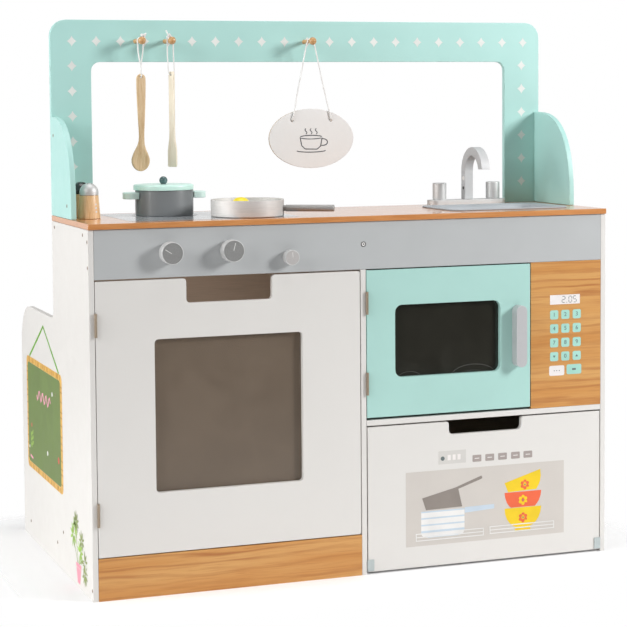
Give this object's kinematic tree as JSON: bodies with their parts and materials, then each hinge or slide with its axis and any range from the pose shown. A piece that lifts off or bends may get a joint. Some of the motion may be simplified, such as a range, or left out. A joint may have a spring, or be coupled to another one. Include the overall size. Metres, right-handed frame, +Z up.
{
  "type": "toy kitchen",
  "caption": "Wooden play kitchen with an oven, microwave, dishwasher, sink, serving frame with pegs, cookware on the counter and a bench behind.",
  "frame": {"origin": "on the floor under the middle of the whole toy", "axes": "+Z up, the kitchen front towards -Y, the bench towards +Y, +X to the right seen from the kitchen front"},
  "size_m": [0.9, 0.548, 0.914],
  "materials": {
    "white_board": "white painted satin board",
    "grey_board": "grey painted satin board",
    "mint_board": "mint painted satin",
    "oak_board": "printed wood grain, satin",
    "counter_board": "wood grain with a glossy lacquer",
    "raw_board": "unpainted board",
    "light_wood": "bare sanded wood",
    "silver_paint": "silver metallic paint on wood",
    "dark_paint": "dark grey satin paint on wood",
    "black_paint": "black paint on wood",
    "sign_board": "white painted face on thin board",
    "egg": "yellow and white painted wood",
    "hinge_metal": "bronze coloured steel",
    "clear_pane": "clear sheet",
    "smoked_pane": "smoked sheet",
    "frosted_plastic": "translucent moulded plastic",
    "sink_plastic": "silver grey moulded plastic",
    "cotton": "twisted cotton cord"
  },
  "bodies": {
    "carcass": {"left_side_panel": "white_board", "right_side_panel": "white_board", "partition": "white_board", "countertop": "counter_board", "control_fascia": "grey_board", "kick_panel": "oak_board", "oven_floor": "white_board", "microwave_shelf": "white_board", "microwave_control_panel": "oak_board", "kitchen_back_panel": "raw_board", "serving_frame": "mint_board", "left_wing": "mint_board", "right_wing": "mint_board", "bench_apron": "white_board", "sink_basin": "sink_plastic", "faucet_base": "silver_paint", "faucet_spout": "silver_paint", "peg_left": "light_wood", "peg_middle": "light_wood", "peg_right": "light_wood", "oven_hinge_lower_frame_leaf": "hinge_metal", "oven_hinge_upper_frame_leaf": "hinge_metal", "microwave_hinge_lower_frame_leaf": "hinge_metal", "microwave_hinge_upper_frame_leaf": "hinge_metal"},
    "oven_door": {"oven_door": "white_board", "oven_window": "clear_pane", "oven_hinge_lower_door_leaf": "hinge_metal", "oven_hinge_upper_door_leaf": "hinge_metal"},
    "microwave_door": {"microwave_door": "mint_board", "microwave_window": "smoked_pane", "microwave_handle": "silver_paint", "microwave_hinge_lower_door_leaf": "hinge_metal", "microwave_hinge_upper_door_leaf": "hinge_metal"},
    "dishwasher_door": {"dishwasher_door": "white_board", "dishwasher_pivot_left": "frosted_plastic", "dishwasher_pivot_right": "frosted_plastic"},
    "bench_lid": {"bench_lid": "white_board"},
    "knob_left": {"knob_left": "silver_paint"},
    "knob_middle": {"knob_middle": "silver_paint"},
    "knob_right": {"knob_right": "silver_paint"},
    "tap_left": {"tap_left": "silver_paint"},
    "tap_right": {"tap_right": "silver_paint"},
    "pot": {"pot": "dark_paint", "pot_handle_left": "mint_board", "pot_handle_right": "mint_board"},
    "pot_lid": {"pot_lid": "mint_board", "pot_lid_knob": "dark_paint"},
    "pan": {"pan": "silver_paint", "pan_handle": "silver_paint"},
    "fried_egg": {"fried_egg": "egg"},
    "salt_shaker": {"salt_shaker": "light_wood", "salt_cap": "silver_paint"},
    "pepper_shaker": {"pepper_shaker": "light_wood", "pepper_cap": "black_paint"},
    "spoon": {"spoon": "light_wood", "spoon_cord": "cotton"},
    "spatula": {"spatula": "light_wood", "spatula_cord": "cotton"},
    "sign": {"sign": "sign_board", "sign_cord": "cotton"}
  },
  "joints": [
    {"name": "oven_door_hinge", "type": "hinge", "parent": "carcass", "child": "oven_door", "pos_m": [-0.4398, -0.2545, 0.2845], "axis": [0, 0, -1], "range_deg": [0, 110]},
    {"name": "microwave_door_hinge", "type": "hinge", "parent": "carcass", "child": "microwave_door", "pos_m": [0.0112, -0.2545, 0.38], "axis": [0, 0, -1], "range_deg": [0, 100]},
    {"name": "dishwasher_door_hinge", "type": "hinge", "parent": "carcass", "child": "dishwasher_door", "pos_m": [0.2255, -0.248, 0.0125], "axis": [1, 0, 0], "range_deg": [0, 90]},
    {"name": "bench_lid_hinge", "type": "hinge", "parent": "carcass", "child": "bench_lid", "pos_m": [0, 0.037, 0.1905], "axis": [1, 0, 0], "range_deg": [0, 95]},
    {"name": "knob_left_turn", "type": "hinge", "parent": "carcass", "child": "knob_left", "pos_m": [-0.3208, -0.252, 0.542], "axis": [0, 1, 0], "continuous": true},
    {"name": "knob_middle_turn", "type": "hinge", "parent": "carcass", "child": "knob_middle", "pos_m": [-0.2211, -0.252, 0.5423], "axis": [0, 1, 0], "continuous": true},
    {"name": "knob_right_turn", "type": "hinge", "parent": "carcass", "child": "knob_right", "pos_m": [-0.122, -0.252, 0.528], "axis": [0, 1, 0], "continuous": true},
    {"name": "tap_left_turn", "type": "hinge", "parent": "carcass", "child": "tap_left", "pos_m": [0.2391, -0.0355, 0.6001], "axis": [0, 0, 1], "continuous": true},
    {"name": "tap_right_turn", "type": "hinge", "parent": "carcass", "child": "tap_right", "pos_m": [0.3431, -0.0355, 0.6001], "axis": [0, 0, 1], "continuous": true},
    {"name": "pot_lift", "type": "slide", "parent": "carcass", "child": "pot", "axis": [0, -0.7071, 0.7071], "range_m": [0, 0.08]},
    {"name": "pot_lid_lift", "type": "slide", "parent": "pot", "child": "pot_lid", "axis": [0, -0.7071, 0.7071], "range_m": [0, 0.06]},
    {"name": "pan_lift", "type": "slide", "parent": "carcass", "child": "pan", "axis": [0, -0.6, 0.8], "range_m": [0, 0.1]},
    {"name": "fried_egg_lift", "type": "slide", "parent": "pan", "child": "fried_egg", "axis": [0, 0, 1], "range_m": [0, 0.04]},
    {"name": "salt_lift", "type": "slide", "parent": "carcass", "child": "salt_shaker", "axis": [0, 0, 1], "range_m": [0, 0.08]},
    {"name": "pepper_lift", "type": "slide", "parent": "carcass", "child": "pepper_shaker", "axis": [0, 0, 1], "range_m": [0, 0.08]},
    {"name": "spoon_swing", "type": "hinge", "parent": "carcass", "child": "spoon", "pos_m": [-0.3044, -0.0375, 0.8785], "axis": [0, 1, 0], "range_deg": [-3, 20]},
    {"name": "spatula_swing", "type": "hinge", "parent": "carcass", "child": "spatula", "pos_m": [-0.2529, -0.0375, 0.8785], "axis": [0, 1, 0], "range_deg": [-20, 3]},
    {"name": "sign_swing", "type": "hinge", "parent": "carcass", "child": "sign", "pos_m": [-0.003, -0.0375, 0.8785], "axis": [0, 1, 0], "range_deg": [-15, 15]}
  ]
}
